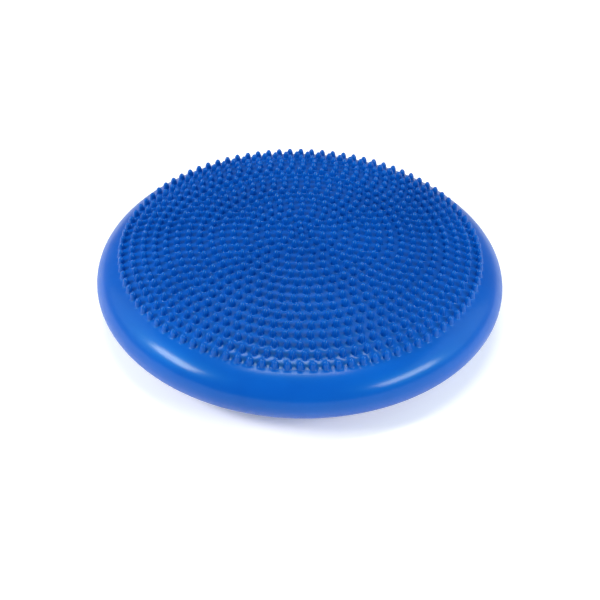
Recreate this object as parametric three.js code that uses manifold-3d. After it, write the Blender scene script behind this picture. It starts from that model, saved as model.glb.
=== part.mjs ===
// Wobble cushion: an air-filled PVC disc, 33 cm across, nubbed on top, with a needle valve underneath.
// Millimetres, +Z up. Origin: centre of the flat patch that rests on the floor.

import * as THREE from 'three';
import { mergeVertices } from 'three/addons/utils/BufferGeometryUtils.js';
import Module from 'manifold-3d';

const wasm = await Module();
wasm.setup();

// ---- Driving dimensions ----
const RIM_RADIUS = 165; // outside radius of the inflated disc
const RIM_HALF_WIDTH = 36; // radial semi-axis of the rim's elliptical section
const RIM_HALF_HEIGHT = 25; // vertical semi-axis of the rim's section
const MID_HEIGHT = 33; // height of the widest line of the rim
const PANEL_RADIUS = 149; // where the rim wall meets the nubbed panel and the floor panel
const DOME_RISE = 20.5; // rise of the nubbed panel from its edge to its centre
const CONTACT_RADIUS = 60; // flat patch on the floor
const SKIN = 3.5; // wall thickness
const GAP = 0.3; // clearance between neighbouring pieces
const FACETS = 48; // facets round the disc
const ARC_STEPS = 7; // facets along each half of the rim's section
const FLOOR_STEPS = 5; // facets from the flat patch to the rim
const DOME_STEPS = 6; // facets from the crown to the edge of the dome
const MERGE_DISTANCE = 1e-4; // vertices closer than this are one

const NUB_HEIGHT = 6.5; // the nubs stand this far out of the dome
const NUB_FIELD_RADIUS = 147.5; // outside of the outermost row of nubs
const NUB_TIP_FIELD_RADIUS = 145.4; // outermost nub tips

const VALVE_OFFSET = 32; // valve axis from the disc's centre, inside the flat patch
const RECESS_RADIUS = 12;
const RECESS_DEPTH = 3;
const BOSS_RADIUS = 16;
const BOSS_TOP = 9;
const HOUSING_FLANGE_RADIUS = 9.5;
const HOUSING_FLANGE_THICKNESS = 1.5;
const HOUSING_RADIUS = 6.2;
const HOUSING_TOP = 13;
const CORE_RADIUS = 3.5;
const CORE_BOTTOM = 2.4;
const CORE_TOP = 15;
const NEEDLE_WAY_RADIUS = 1.6;
const NEEDLE_WAY_LENGTH = 5.2;
const PLUG_HEAD_RADIUS = 3.4;
const PLUG_HEAD_BOTTOM = 0.5;
const PLUG_HEAD_THICKNESS = 1.4;
const PLUG_STEM_RADIUS = 1.3;
const PLUG_STEM_LENGTH = 4.8;
const VALVE_FACETS = 24;

// ---- Materials ----
const skinBlue = new THREE.MeshStandardMaterial({ color: 0x0050be, roughness: 0.3, metalness: 0 });
const rimBlue = new THREE.MeshStandardMaterial({ color: 0x0a58c4, roughness: 0.22, metalness: 0 });
const valveBlue = new THREE.MeshStandardMaterial({ color: 0x0a3c96, roughness: 0.45, metalness: 0 });
const valveRubber = new THREE.MeshStandardMaterial({ color: 0x1c1e22, roughness: 0.8, metalness: 0 });
const plugWhite = new THREE.MeshStandardMaterial({ color: 0xe6e8ea, roughness: 0.5, metalness: 0 });

// ---- Solids ----

// A closed three.js geometry as a solid: shared vertices merged, collapsed triangles dropped.
function toSolid(geometry) {
  geometry.deleteAttribute('normal');
  geometry.deleteAttribute('uv');
  const merged = mergeVertices(geometry, MERGE_DISTANCE);
  const corners = merged.index.array;
  const triVerts = [];
  for (let i = 0; i < corners.length; i += 3) {
    const [a, b, c] = corners.slice(i, i + 3);
    if (a !== b && b !== c && c !== a) triVerts.push(a, b, c);
  }
  const vertProperties = new Float32Array(merged.attributes.position.array);
  const mesh = new wasm.Mesh({ numProp: 3, vertProperties, triVerts: new Uint32Array(triVerts) });
  return new wasm.Manifold(mesh);
}

// A solid as a named three.js mesh.
function toMesh(name, solid, material) {
  const { vertProperties, triVerts } = solid.getMesh();
  const geometry = new THREE.BufferGeometry();
  geometry.setAttribute('position', new THREE.BufferAttribute(new Float32Array(vertProperties), 3));
  geometry.setIndex(new THREE.BufferAttribute(new Uint32Array(triVerts), 1));
  geometry.computeVertexNormals();
  const mesh = new THREE.Mesh(geometry, material);
  mesh.name = name;
  return mesh;
}

// A profile of [radius, height] points, listed anticlockwise, turned about the Z axis.
function turned(profile, facets) {
  const points = profile.map(([radius, height]) => new THREE.Vector2(radius, height));
  const geometry = new THREE.LatheGeometry(points, facets);
  geometry.rotateX(Math.PI / 2);
  return toSolid(geometry);
}

// A plain round bar from one height to another, standing on the valve's axis.
function valveBar(radius, bottom, top) {
  const geometry = new THREE.CylinderGeometry(radius, radius, top - bottom, VALVE_FACETS);
  geometry.rotateX(Math.PI / 2);
  geometry.translate(0, VALVE_OFFSET, (bottom + top) / 2);
  return toSolid(geometry);
}

// ---- The skin's section ----

const rimCentreRadius = RIM_RADIUS - RIM_HALF_WIDTH;
const edgeAngle = Math.acos((PANEL_RADIUS - rimCentreRadius) / RIM_HALF_WIDTH);
const panelEdgeHeight = MID_HEIGHT + RIM_HALF_HEIGHT * Math.sin(edgeAngle);
const floorEdgeHeight = MID_HEIGHT - RIM_HALF_HEIGHT * Math.sin(edgeAngle);
const domeRadius = (PANEL_RADIUS ** 2 + DOME_RISE ** 2) / (2 * DOME_RISE);

// Height of the nubbed panel's outer surface, a shallow spherical dome.
function domeHeight(radius) {
  return panelEdgeHeight + DOME_RISE - domeRadius + Math.sqrt(domeRadius ** 2 - radius ** 2);
}

// Height of the floor panel's outer surface: flat on the floor, then rising to the rim.
function floorHeight(radius) {
  const share = Math.max(0, radius - CONTACT_RADIUS) / (PANEL_RADIUS - CONTACT_RADIUS);
  return floorEdgeHeight * share ** 2;
}

// One arc of the rim's section, from its widest line to the panel edge; side is 1 above and -1 below.
function rimArc(inset, side) {
  const halfWidth = RIM_HALF_WIDTH - inset;
  const halfHeight = RIM_HALF_HEIGHT - inset;
  const from = Math.asin(GAP / 2 / halfHeight);
  const to = Math.acos((PANEL_RADIUS + GAP / 2 - rimCentreRadius) / halfWidth);
  const arc = [];
  for (let step = 0; step <= ARC_STEPS; step++) {
    const angle = from + ((to - from) * step) / ARC_STEPS;
    const radius = rimCentreRadius + halfWidth * Math.cos(angle);
    arc.push([radius, MID_HEIGHT + side * halfHeight * Math.sin(angle)]);
  }
  return arc;
}

// Radii from one value to another in even steps.
function radii(from, to, steps) {
  return Array.from({ length: steps + 1 }, (_, step) => from + ((to - from) * step) / steps);
}

// ---- Pieces ----

function upperRimWall() {
  const outer = rimArc(0, 1);
  const inner = rimArc(SKIN, 1).reverse();
  return turned([...outer, ...inner, outer[0]], FACETS);
}

function lowerRimWall() {
  const outer = rimArc(0, -1).reverse();
  const inner = rimArc(SKIN, -1);
  return turned([...outer, ...inner, outer[0]], FACETS);
}

function floorPanel() {
  const edge = PANEL_RADIUS - GAP / 2;
  const outer = [[0, 0], ...radii(CONTACT_RADIUS, edge, FLOOR_STEPS).map((r) => [r, floorHeight(r)])];
  const inner = outer.map(([r, z]) => [r, z + SKIN]).reverse();
  const boss = valveBar(BOSS_RADIUS, SKIN / 2, BOSS_TOP);
  const recess = valveBar(RECESS_RADIUS, -SKIN, RECESS_DEPTH);
  const bore = valveBar(HOUSING_RADIUS + GAP, 0, BOSS_TOP + SKIN);
  return turned([...outer, ...inner], FACETS).add(boss).subtract(recess).subtract(bore);
}

// The dome with its field of nubs as one plain pad: its top is the surface through the nub tips.
function nubPanel() {
  const tips = radii(0, NUB_TIP_FIELD_RADIUS, DOME_STEPS).map((r) => [r, domeHeight(r) + NUB_HEIGHT]);
  const foot = [NUB_FIELD_RADIUS, PANEL_RADIUS - GAP / 2].map((r) => [r, domeHeight(r)]);
  const outer = [...tips, ...foot];
  const inner = radii(0, PANEL_RADIUS - GAP / 2, DOME_STEPS).map((r) => [r, domeHeight(r) - SKIN]);
  return turned([...inner, ...outer.reverse()], FACETS);
}

function valveHousing() {
  const flangeTop = RECESS_DEPTH - GAP;
  const flangeBottom = flangeTop - HOUSING_FLANGE_THICKNESS;
  const flange = valveBar(HOUSING_FLANGE_RADIUS, flangeBottom, flangeTop);
  const barrel = valveBar(HOUSING_RADIUS, flangeBottom, HOUSING_TOP);
  const bore = valveBar(CORE_RADIUS + GAP, 0, HOUSING_TOP + SKIN);
  return flange.add(barrel).subtract(bore);
}

function valveCore() {
  const body = valveBar(CORE_RADIUS, CORE_BOTTOM, CORE_TOP);
  const needleWay = valveBar(NEEDLE_WAY_RADIUS, 0, CORE_BOTTOM + NEEDLE_WAY_LENGTH);
  return body.subtract(needleWay);
}

function valvePlug() {
  const headTop = PLUG_HEAD_BOTTOM + PLUG_HEAD_THICKNESS;
  const head = valveBar(PLUG_HEAD_RADIUS, PLUG_HEAD_BOTTOM, headTop);
  return head.add(valveBar(PLUG_STEM_RADIUS, PLUG_HEAD_BOTTOM, headTop + PLUG_STEM_LENGTH));
}

// ---- The assembly ----

const cushion = new THREE.Group();
const skin = new THREE.Group();
skin.add(
  toMesh('floor_panel', floorPanel(), skinBlue),
  toMesh('lower_rim_wall', lowerRimWall(), rimBlue),
  toMesh('upper_rim_wall', upperRimWall(), rimBlue),
  toMesh('nub_panel', nubPanel(), skinBlue),
);
const valve = new THREE.Group();
valve.add(
  toMesh('valve_housing', valveHousing(), valveBlue),
  toMesh('valve_core', valveCore(), valveRubber),
  toMesh('valve_plug', valvePlug(), plugWhite),
);
cushion.add(skin, valve);

export default cushion;
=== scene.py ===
"""A blue wobble cushion: an air-filled PVC disc with a nubbed top, on a pale floor."""

import math
import random

import bpy
from mathutils import Matrix, Vector
from mathutils.geometry import delaunay_2d_cdt


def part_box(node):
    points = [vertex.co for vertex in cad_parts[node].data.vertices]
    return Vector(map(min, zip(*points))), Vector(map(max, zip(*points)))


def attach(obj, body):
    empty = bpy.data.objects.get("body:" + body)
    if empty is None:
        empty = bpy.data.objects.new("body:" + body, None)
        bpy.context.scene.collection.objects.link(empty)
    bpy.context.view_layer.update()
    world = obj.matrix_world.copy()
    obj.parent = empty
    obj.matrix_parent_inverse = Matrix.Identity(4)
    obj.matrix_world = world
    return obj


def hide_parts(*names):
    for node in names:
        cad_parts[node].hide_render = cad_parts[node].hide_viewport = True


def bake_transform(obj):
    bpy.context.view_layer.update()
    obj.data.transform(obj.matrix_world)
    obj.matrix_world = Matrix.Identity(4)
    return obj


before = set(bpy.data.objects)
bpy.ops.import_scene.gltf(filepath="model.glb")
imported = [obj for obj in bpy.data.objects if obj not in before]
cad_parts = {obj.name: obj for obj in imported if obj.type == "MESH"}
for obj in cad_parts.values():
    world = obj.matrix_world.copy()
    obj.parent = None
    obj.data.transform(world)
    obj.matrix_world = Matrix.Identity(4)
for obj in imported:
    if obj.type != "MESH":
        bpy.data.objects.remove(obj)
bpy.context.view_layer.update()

# ---- Sizes, in metres, worked out from the frame where it states them ----

MM = 0.001
TINY = 1e-7  # shorter than this counts as nothing
GAP = 0.3 * MM  # clearance between neighbouring CAD pieces
NUB_HEIGHT = 6.5 * MM
RIM_HALF_WIDTH = 36 * MM  # radial semi-axis of the rim's section
RIM_HALF_HEIGHT = 25 * MM  # vertical semi-axis of the rim's section
CONTACT_RADIUS = 60 * MM  # flat patch on the floor
SKIN = 3.5 * MM  # wall thickness of the rim and the top
UNDERSIDE_SKIN = 2.5 * MM  # wall thickness of the underside

RIM_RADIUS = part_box("upper_rim_wall")[1].x
RIM_CENTRE_RADIUS = RIM_RADIUS - RIM_HALF_WIDTH
MID_HEIGHT = (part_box("lower_rim_wall")[1].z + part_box("upper_rim_wall")[0].z) / 2
PANEL_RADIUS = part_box("nub_panel")[1].x + GAP / 2
CROWN_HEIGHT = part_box("nub_panel")[1].z - NUB_HEIGHT
EDGE_ANGLE = math.acos((PANEL_RADIUS - RIM_CENTRE_RADIUS) / RIM_HALF_WIDTH)
EDGE_DROP = RIM_HALF_HEIGHT * math.sin(EDGE_ANGLE)
PANEL_EDGE_HEIGHT = MID_HEIGHT + EDGE_DROP
FLOOR_EDGE_HEIGHT = MID_HEIGHT - EDGE_DROP
DOME_RISE = CROWN_HEIGHT - PANEL_EDGE_HEIGHT
RIM_EDGE_SLOPE = RIM_HALF_HEIGHT / RIM_HALF_WIDTH / math.tan(EDGE_ANGLE)  # where it meets the panel
SHOULDER_POWER = 12  # how sharply the dome turns down into the rim at its edge
SHOULDER = (RIM_EDGE_SLOPE * PANEL_RADIUS / DOME_RISE - 2) / (SHOULDER_POWER - 2)

NUB_ROWS = 16
NUB_PITCH = 9.03 * MM
NUB_SIDES = 12
NUB_LEAN = 0.2 * MM  # most that a nub's tip is off its foot's centre, in x and in y
NUB_SHORTEST = 0.97  # least height that a nub may have, as a share of NUB_HEIGHT
LEVEL_HEIGHT = 0.6 * NUB_HEIGHT  # a stud follows the sheet's slope less and less up to this height
PIMPLE_ROWS = 11
PIMPLE_PITCH = 12 * MM
PIMPLE_HEIGHT = 0.9 * MM
PIMPLE_SIDES = 16
STUDS_ADDED_PER_ROW = 6
ROW_TURN = 0.618  # each row of studs is turned by a share of its spacing that grows with the row
STEPS_ROUND = 240  # steps round the disc
RIM_STEPS = 22  # steps along each half of the rim's section
INNER_RINGS = 12  # rings on the top's inner face
SHARP_ANGLE = math.radians(50)

housing_low, housing_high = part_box("valve_housing")
VALVE = Vector(((housing_low.x + housing_high.x) / 2, (housing_low.y + housing_high.y) / 2, 0))
VALVE_STEPS = 64  # steps round the valve's pieces and its recess
RECESS_RADIUS = 12 * MM
RECESS_DEPTH = 3 * MM
HOUSING_BORE = 6.6 * MM  # radius of the hole in the underside for the valve's barrel
PIMPLE_FREE_RADIUS = 19 * MM  # no pimple's centre is nearer the valve's axis than this

rng = random.Random(7)


# ---- Small helpers ----


def smoothstep(a, b, x):
    t = min(1, max(0, (x - a) / (b - a)))
    return t * t * (3 - 2 * t)


def new_object(name, vertices, faces):
    mesh = bpy.data.meshes.new(name)
    mesh.from_pydata([tuple(v) for v in vertices], [], faces)
    mesh.validate()
    mesh.update()
    mesh.shade_smooth()
    mesh.set_sharp_from_angle(angle=SHARP_ANGLE)
    obj = bpy.data.objects.new(name, mesh)
    bpy.context.scene.collection.objects.link(obj)
    return obj


def turned(name, profile, axis=Vector((0, 0, 0)), steps=STEPS_ROUND):
    """A closed profile of (radius, height) points, listed anticlockwise, turned about a vertical axis."""
    vertices, rings = [], []
    for radius, height in profile:
        if radius < TINY:
            rings.append([len(vertices)] * steps)
            vertices.append(axis + Vector((0, 0, height)))
            continue
        rings.append(list(range(len(vertices), len(vertices) + steps)))
        for i in range(steps):
            angle = 2 * math.pi * i / steps
            vertices.append(axis + Vector((radius * math.cos(angle), radius * math.sin(angle), height)))
    faces = []
    for k in range(len(rings)):
        low, high = rings[k], rings[(k + 1) % len(rings)]
        if low[0] == low[1] and high[0] == high[1]:
            continue
        for i in range(steps):
            j = (i + 1) % steps
            corners = []
            for v in (low[i], low[j], high[j], high[i]):
                if v not in corners:
                    corners.append(v)
            faces.append(corners)
    return new_object(name, vertices, faces)


# ---- The skin's section ----


def dome_height(radius):
    """Height of the nubbed panel between its nubs: a shallow dome that runs smoothly into the rim."""
    share = radius / PANEL_RADIUS
    return CROWN_HEIGHT - DOME_RISE * ((1 - SHOULDER) * share**2 + SHOULDER * share**SHOULDER_POWER)


def floor_height(radius):
    """Height of the underside between its pimples, whose tips touch the floor."""
    share = max(0, radius - CONTACT_RADIUS) / (PANEL_RADIUS - CONTACT_RADIUS)
    lift = PIMPLE_HEIGHT * (1 - smoothstep(PIMPLE_ROWS * PIMPLE_PITCH, PANEL_RADIUS, radius))
    return FLOOR_EDGE_HEIGHT * share**2 + lift


def rim_profile(side):
    """Closed section of one half of the rim wall; side is 1 above the widest line and -1 below."""
    outer, inner = [], []
    for step in range(RIM_STEPS + 1):
        share = step / RIM_STEPS
        for arc, inset in ((outer, 0), (inner, SKIN)):
            half_width, half_height = RIM_HALF_WIDTH - inset, RIM_HALF_HEIGHT - inset
            end = math.acos((PANEL_RADIUS - RIM_CENTRE_RADIUS) / half_width)
            radius = RIM_CENTRE_RADIUS + half_width * math.cos(end * share)
            arc.append((radius, MID_HEIGHT + side * half_height * math.sin(end * share)))
    profile = outer + inner[::-1]
    return profile if side > 0 else profile[::-1]


# ---- Sheets with studs ----

NUB_PROFILE = [  # (radius, height) in millimetres, from the foot's fillet to the tip
    (3.5, 0), (3.05, 0.2), (2.85, 0.65), (2.72, 1.6), (2.55, 2.7), (2.32, 3.7),
    (2.02, 4.6), (1.64, 5.35), (1.16, 5.95), (0.6, 6.35), (0.25, 6.47), (0, 6.5),
]
PIMPLE_PROFILE = [(2.9, 0), (2.4, 0.22), (1.7, 0.58), (0.9, 0.82), (0, 0.9)]
RECESS_LIP = [(14.6, 0), (14.2, 0.35), (13.4, 0.6), (12.6, 0.45), (12.1, 0), (12.0, -0.6)]


def ring_centres(rows, pitch):
    """Plan positions of a stud in the middle and concentric rows round it, each longer than the last."""
    centres = [(0.0, 0.0)]
    for row in range(1, rows + 1):
        count = STUDS_ADDED_PER_ROW * row
        turn = row * row * ROW_TURN % 1
        for i in range(count):
            angle = 2 * math.pi * (i + turn) / count
            centres.append((row * pitch * math.cos(angle), row * pitch * math.sin(angle)))
    return centres


def circle(x, y, radius, sides):
    """Plan points round a circle."""
    turns = [2 * math.pi * i / sides for i in range(sides)]
    return [Vector((x + radius * math.cos(t), y + radius * math.sin(t))) for t in turns]


def studded_sheet(studs, height_at, up):
    """Vertices and faces of a round sheet whose studs are welded into it, and the indices of its border.

    A stud is (x, y, sides, profile, lean). It stands upright, and its foot follows the sheet's slope.
    Its profile holds (radius, height) points from its foot outwards, in metres, and ends on its axis
    unless it is open. lean moves its tip sideways. up is 1 where the sheet's outer face looks up and
    -1 where it looks down.
    """
    plan, loops = [], []
    for x, y, sides, profile, lean in studs:
        loops.append(list(range(len(plan), len(plan) + sides)))
        plan += circle(x, y, profile[0][0], sides)
    border = list(range(len(plan), len(plan) + STEPS_ROUND))
    plan += circle(0, 0, PANEL_RADIUS, STEPS_ROUND)
    found, _, triangles, origin, _, inside = delaunay_2d_cdt(plan, [], loops + [border], 0, TINY)
    index_of = {source: i for i, sources in enumerate(origin) for source in sources}
    vertices = [Vector((p.x, p.y, height_at(p.length))) for p in found]
    faces = [list(t) for t, f in zip(triangles, inside) if list(f) == [len(loops)]]
    for (x, y, sides, profile, lean), loop in zip(studs, loops):
        foot_height = height_at(math.hypot(x, y))
        below = [index_of[i] for i in loop]
        for radius, height in profile[1:]:
            shift = lean * (height / NUB_HEIGHT) ** 2 + Vector((0, 0, up * height))
            if radius == 0:
                tip = len(vertices)
                vertices.append(Vector((x, y, foot_height)) + shift)
                faces += [[below[i], below[(i + 1) % sides], tip] for i in range(sides)]
                break
            level = smoothstep(0, LEVEL_HEIGHT, abs(height))
            ring = list(range(len(vertices), len(vertices) + sides))
            for p in circle(x, y, radius, sides):
                slope = height_at(p.length) - foot_height
                vertices.append(Vector((p.x, p.y, foot_height + slope * (1 - level))) + shift)
            for i in range(sides):
                j = (i + 1) % sides
                faces.append([below[i], below[j], ring[j], ring[i]])
            below = ring
    if up < 0:
        faces = [face[::-1] for face in faces]
    return vertices, faces, [index_of[i] for i in border]


def scaled(profile, along=1.0):
    """A profile in millimetres as metres, scaled along its axis."""
    return [(radius * MM, height * along * MM) for radius, height in profile]


# ---- The pieces of the skin ----


def make_nub_panel():
    studs = []
    for x, y in ring_centres(NUB_ROWS, NUB_PITCH):
        lean = Vector((rng.uniform(-NUB_LEAN, NUB_LEAN), rng.uniform(-NUB_LEAN, NUB_LEAN), 0))
        profile = scaled(NUB_PROFILE, rng.uniform(NUB_SHORTEST, 1))
        studs.append((x, y, NUB_SIDES, profile, lean))
    vertices, faces, above = studded_sheet(studs, dome_height, 1)
    for k in range(INNER_RINGS):  # the inner face, from the border to the middle
        radius = PANEL_RADIUS * (1 - k / INNER_RINGS)
        inner = Vector((0, 0, dome_height(radius) - SKIN))
        ring = list(range(len(vertices), len(vertices) + STEPS_ROUND))
        vertices += [p.to_3d() + inner for p in circle(0, 0, radius, STEPS_ROUND)]
        for i in range(STEPS_ROUND):
            j = (i + 1) % STEPS_ROUND
            faces.append([above[j], above[i], ring[i], ring[j]])
        above = ring
    middle = len(vertices)
    vertices.append(Vector((0, 0, CROWN_HEIGHT - SKIN)))
    faces += [[above[(i + 1) % STEPS_ROUND], above[i], middle] for i in range(STEPS_ROUND)]
    return new_object("nubbed_top_skin", vertices, faces)


def make_floor_skin():
    depth = RECESS_DEPTH - PIMPLE_HEIGHT
    corner, chamfer, collar = 0.5 * MM, 0.4 * MM, 2 * MM
    recess = scaled(RECESS_LIP) + [(RECESS_RADIUS, corner - depth), (RECESS_RADIUS - corner, -depth)]
    recess += [(HOUSING_BORE + chamfer, -depth), (HOUSING_BORE, -depth - chamfer)]
    recess += [(HOUSING_BORE, -depth - collar)]
    still = Vector((0, 0, 0))
    studs = [(VALVE.x, VALVE.y, VALVE_STEPS, recess, still)]
    for x, y in ring_centres(PIMPLE_ROWS, PIMPLE_PITCH):
        if math.hypot(x - VALVE.x, y - VALVE.y) > PIMPLE_FREE_RADIUS:
            studs.append((x, y, PIMPLE_SIDES, scaled(PIMPLE_PROFILE), still))
    vertices, faces, _ = studded_sheet(studs, floor_height, -1)
    skin = new_object("underside_skin", vertices, faces)
    wall = skin.modifiers.new("wall", "SOLIDIFY")
    wall.thickness = UNDERSIDE_SKIN
    wall.offset = -1
    return applied(skin)


def applied(obj):
    """Bakes an object's modifiers into its mesh."""
    evaluated = obj.evaluated_get(bpy.context.evaluated_depsgraph_get())
    mesh = bpy.data.meshes.new_from_object(evaluated)
    obj.modifiers.clear()
    obj.data = mesh
    return obj


# ---- The valve ----


def valve_piece(name, profile):
    """A turned piece on the valve's axis, from (radius, height above the floor) points in millimetres."""
    return turned(name, scaled(profile), VALVE, VALVE_STEPS)


def make_valve_housing():
    return valve_piece("valve_housing_ring", [
        (4.2, 1.2), (6.0, 1.2), (6.4, 1.45), (7.2, 1.45), (7.6, 1.2), (9.0, 1.2), (9.4, 1.35), (9.5, 1.7),
        (9.5, 2.5), (9.3, 2.7), (6.2, 2.7), (6.2, 12.8), (6.0, 13.0), (4.0, 13.0), (3.8, 12.8), (3.8, 1.6),
    ])


def make_valve_core():
    return valve_piece("valve_core_rubber", [
        (1.9, 2.4), (3.2, 2.4), (3.5, 2.7), (3.5, 14.4), (2.9, 15.0), (0, 15.0), (0, 7.6), (1.3, 7.6),
        (1.6, 7.2), (1.6, 2.7),
    ])


def make_valve_plug():
    return valve_piece("valve_stopper", [
        (0, 0.75), (0.9, 0.72), (1.2, 0.5), (2.8, 0.5), (3.25, 0.65), (3.4, 1.0), (3.4, 1.6), (3.2, 1.85),
        (1.6, 1.9), (1.3, 2.2), (1.3, 3.4), (1.42, 3.8), (1.3, 4.2), (1.25, 6.2), (0.9, 6.65), (0, 6.7),
    ])


# ---- Materials ----


def node_material(name):
    """A new material and the means to add and join its nodes."""
    material = bpy.data.materials.new(name)
    material.use_nodes = True
    tree = material.node_tree
    shader = tree.nodes["Principled BSDF"]
    coords = tree.nodes.new("ShaderNodeTexCoord")
    return material, tree, shader, coords.outputs["Object"]


def noise(tree, coords, scale, detail, low, high):
    """Noise mapped to the range low to high."""
    texture = tree.nodes.new("ShaderNodeTexNoise")
    texture.inputs["Scale"].default_value = scale
    texture.inputs["Detail"].default_value = detail
    tree.links.new(coords, texture.inputs["Vector"])
    spread = tree.nodes.new("ShaderNodeMapRange")
    spread.inputs["From Min"].default_value = 0.3
    spread.inputs["From Max"].default_value = 0.7
    spread.inputs["To Min"].default_value = low
    spread.inputs["To Max"].default_value = high
    tree.links.new(texture.outputs["Fac"], spread.inputs["Value"])
    return spread.outputs["Result"]


def bump(tree, shader, height, strength, distance):
    relief = tree.nodes.new("ShaderNodeBump")
    relief.inputs["Strength"].default_value = strength
    relief.inputs["Distance"].default_value = distance
    tree.links.new(height, relief.inputs["Height"])
    tree.links.new(relief.outputs["Normal"], shader.inputs["Normal"])


def two_tone(tree, shader, amount, first, second):
    """Colour that drifts between two tones."""
    mix = tree.nodes.new("ShaderNodeMix")
    mix.data_type = "RGBA"
    mix.inputs["A"].default_value = (*first, 1)
    mix.inputs["B"].default_value = (*second, 1)
    tree.links.new(amount, mix.inputs["Factor"])
    tree.links.new(mix.outputs["Result"], shader.inputs["Base Color"])


def moulded(name, tones, roughness, grain, grain_depth):
    """Moulded plastic or rubber: drifting tone, uneven gloss and a fine surface grain."""
    material, tree, shader, coords = node_material(name)
    drift = noise(tree, coords, scale=14, detail=4, low=0, high=1)
    gloss = noise(tree, coords, scale=38, detail=5, low=roughness[0], high=roughness[1])
    relief = noise(tree, coords, scale=grain, detail=2, low=0, high=1)
    two_tone(tree, shader, drift, *tones)
    tree.links.new(gloss, shader.inputs["Roughness"])
    bump(tree, shader, relief, strength=0.35, distance=grain_depth)
    return material, shader


def skin_material():
    """Blue PVC: a soft blue-green sheen under a thin clear gloss."""
    tones = (0.0004, 0.058, 0.35), (0.0006, 0.074, 0.41)
    material, shader = moulded("blue_pvc", tones, (0.36, 0.46), 260, 0.06 * MM)
    shader.inputs["IOR"].default_value = 1.3
    shader.inputs["Specular Tint"].default_value = (0, 1, 0.85, 1)
    shader.inputs["Coat Weight"].default_value = 0.15
    shader.inputs["Coat Roughness"].default_value = 0.18
    shader.inputs["Coat IOR"].default_value = 1.8
    return material


def housing_material():
    tones = (0.004, 0.035, 0.2), (0.006, 0.05, 0.27)
    return moulded("valve_housing_plastic", tones, (0.4, 0.55), 700, 0.05 * MM)[0]


def core_material():
    tones = (0.01, 0.011, 0.013), (0.02, 0.021, 0.024)
    return moulded("valve_core_rubber", tones, (0.7, 0.9), 900, 0.08 * MM)[0]


def plug_material():
    tones = (0.78, 0.8, 0.82), (0.85, 0.86, 0.87)
    return moulded("stopper_plastic", tones, (0.35, 0.5), 600, 0.04 * MM)[0]


# ---- Building ----


def finished(obj, material):
    """Gives a piece its material."""
    obj.data.materials.clear()
    obj.data.materials.append(material)
    return obj


pvc = skin_material()

top = finished(make_nub_panel(), pvc)
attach(top, "top")
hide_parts("nub_panel")

upper_rim = finished(turned("upper_rim_skin", rim_profile(1)), pvc)
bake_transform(upper_rim)
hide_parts("upper_rim_wall")

lower_rim = finished(turned("lower_rim_skin", rim_profile(-1)), pvc)
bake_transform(lower_rim)
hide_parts("lower_rim_wall")

floor_skin = finished(make_floor_skin(), pvc)
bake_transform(floor_skin)
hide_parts("floor_panel")

housing = finished(make_valve_housing(), housing_material())
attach(housing, "base")
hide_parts("valve_housing")
core = finished(make_valve_core(), core_material())
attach(core, "base")
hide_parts("valve_core")
plug = finished(make_valve_plug(), plug_material())
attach(plug, "plug")
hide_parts("valve_plug")


# ---- Floor, light and camera ----

FLOOR_HALF = 6.0  # metres from the middle of the floor to its edges
MIDDLE = Vector((0, 0, MID_HEIGHT))  # what the lights and the camera aim at
WARM = (1, 0.95, 0.9)
COOL = (0.7, 0.94, 1)


def make_floor():
    """A plain near-white floor that gives off a little light of its own, which softens the shadow."""
    half = FLOOR_HALF
    corners = [(-half, -half, 0), (half, -half, 0), (half, half, 0), (-half, half, 0)]
    floor = new_object("floor", corners, [[0, 1, 2, 3]])
    material, tree, shader, coords = node_material("pale_floor")
    shader.inputs["Base Color"].default_value = (0.93, 0.93, 0.93, 1)
    shader.inputs["Emission Color"].default_value = (1, 1, 1, 1)
    shader.inputs["Emission Strength"].default_value = 0.22
    uneven = noise(tree, coords, scale=3, detail=3, low=0.7, high=0.8)
    tree.links.new(uneven, shader.inputs["Roughness"])
    floor.data.materials.append(material)


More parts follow.
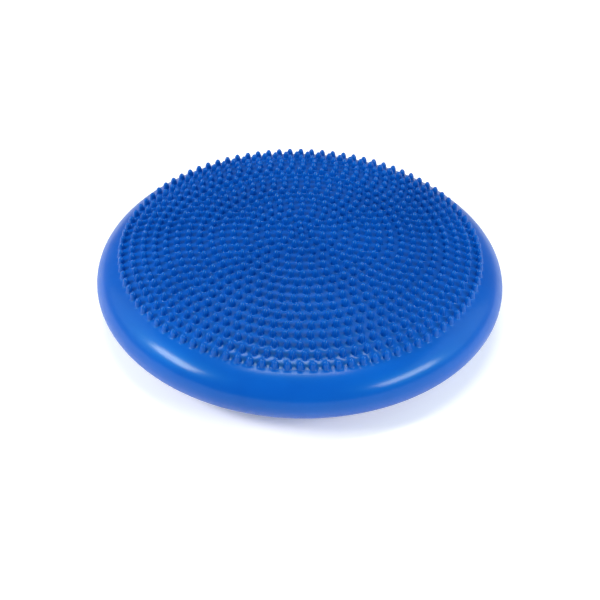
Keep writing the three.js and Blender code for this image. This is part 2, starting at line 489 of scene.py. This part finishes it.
def make_world():
    """Even, faintly blue light from all round."""
    world = bpy.data.worlds.new("pale_room")
    bpy.context.scene.world = world
    world.use_nodes = True
    background = world.node_tree.nodes["Background"]
    background.inputs["Color"].default_value = (0.75, 0.93, 1, 1)
    background.inputs["Strength"].default_value = 0.3


def studio_light(name, azimuth, elevation, distance, size, watts, colour):
    """A softbox aimed at the cushion, with its angles in degrees and its distance and size in metres.

    Azimuth 0 is on the camera's side of the cushion, and positive azimuths are to the camera's right.
    """
    a, e = math.radians(azimuth), math.radians(elevation)
    away = Vector((math.sin(a) * math.cos(e), -math.cos(a) * math.cos(e), math.sin(e)))
    data = bpy.data.lights.new(name, "AREA")
    data.shape = "RECTANGLE"
    data.size, data.size_y = size
    data.energy = watts
    data.color = colour
    light = bpy.data.objects.new(name, data)
    bpy.context.scene.collection.objects.link(light)
    light.location = MIDDLE + away * distance
    light.rotation_mode = "QUATERNION"
    light.rotation_quaternion = (-away).to_track_quat("-Z", "Y")


def make_lights():
    studio_light("overhead", 0, 88, 1.6, (0.8, 0.3), 11, WARM)
    studio_light("back", 180, 62, 1.6, (1.0, 0.3), 1.5, WARM)
    studio_light("key_left", -70, 34, 1.4, (0.6, 0.3), 15, WARM)
    studio_light("key_right", 58, 27, 1.4, (0.75, 0.26), 12, WARM)
    studio_light("side_left", -100, 30, 1.6, (1.3, 1.0), 5, COOL)
    studio_light("side_right", 97, 30, 1.6, (1.3, 1.0), 6, COOL)


def make_camera():
    """Front view from 37 degrees up, rolled a little, with the cushion just above the picture's middle."""
    elevation, distance, roll = math.radians(37.16), 1.279, math.radians(1.37)
    back = Vector((0, -math.cos(elevation), math.sin(elevation)))
    level = (-back).to_track_quat("-Z", "Y").to_matrix()
    data = bpy.data.cameras.new("camera")
    data.sensor_width = 36
    data.lens = 93.8
    data.shift_y = -0.0428
    camera = bpy.data.objects.new("camera", data)
    bpy.context.scene.collection.objects.link(camera)
    camera.location = MIDDLE + back * distance
    camera.rotation_mode = "QUATERNION"
    camera.rotation_quaternion = (Matrix.Rotation(roll, 3, back) @ level).to_quaternion()
    bpy.context.scene.camera = camera


make_floor()
make_world()
make_lights()
make_camera()
bpy.context.scene.view_settings.view_transform = "Standard"
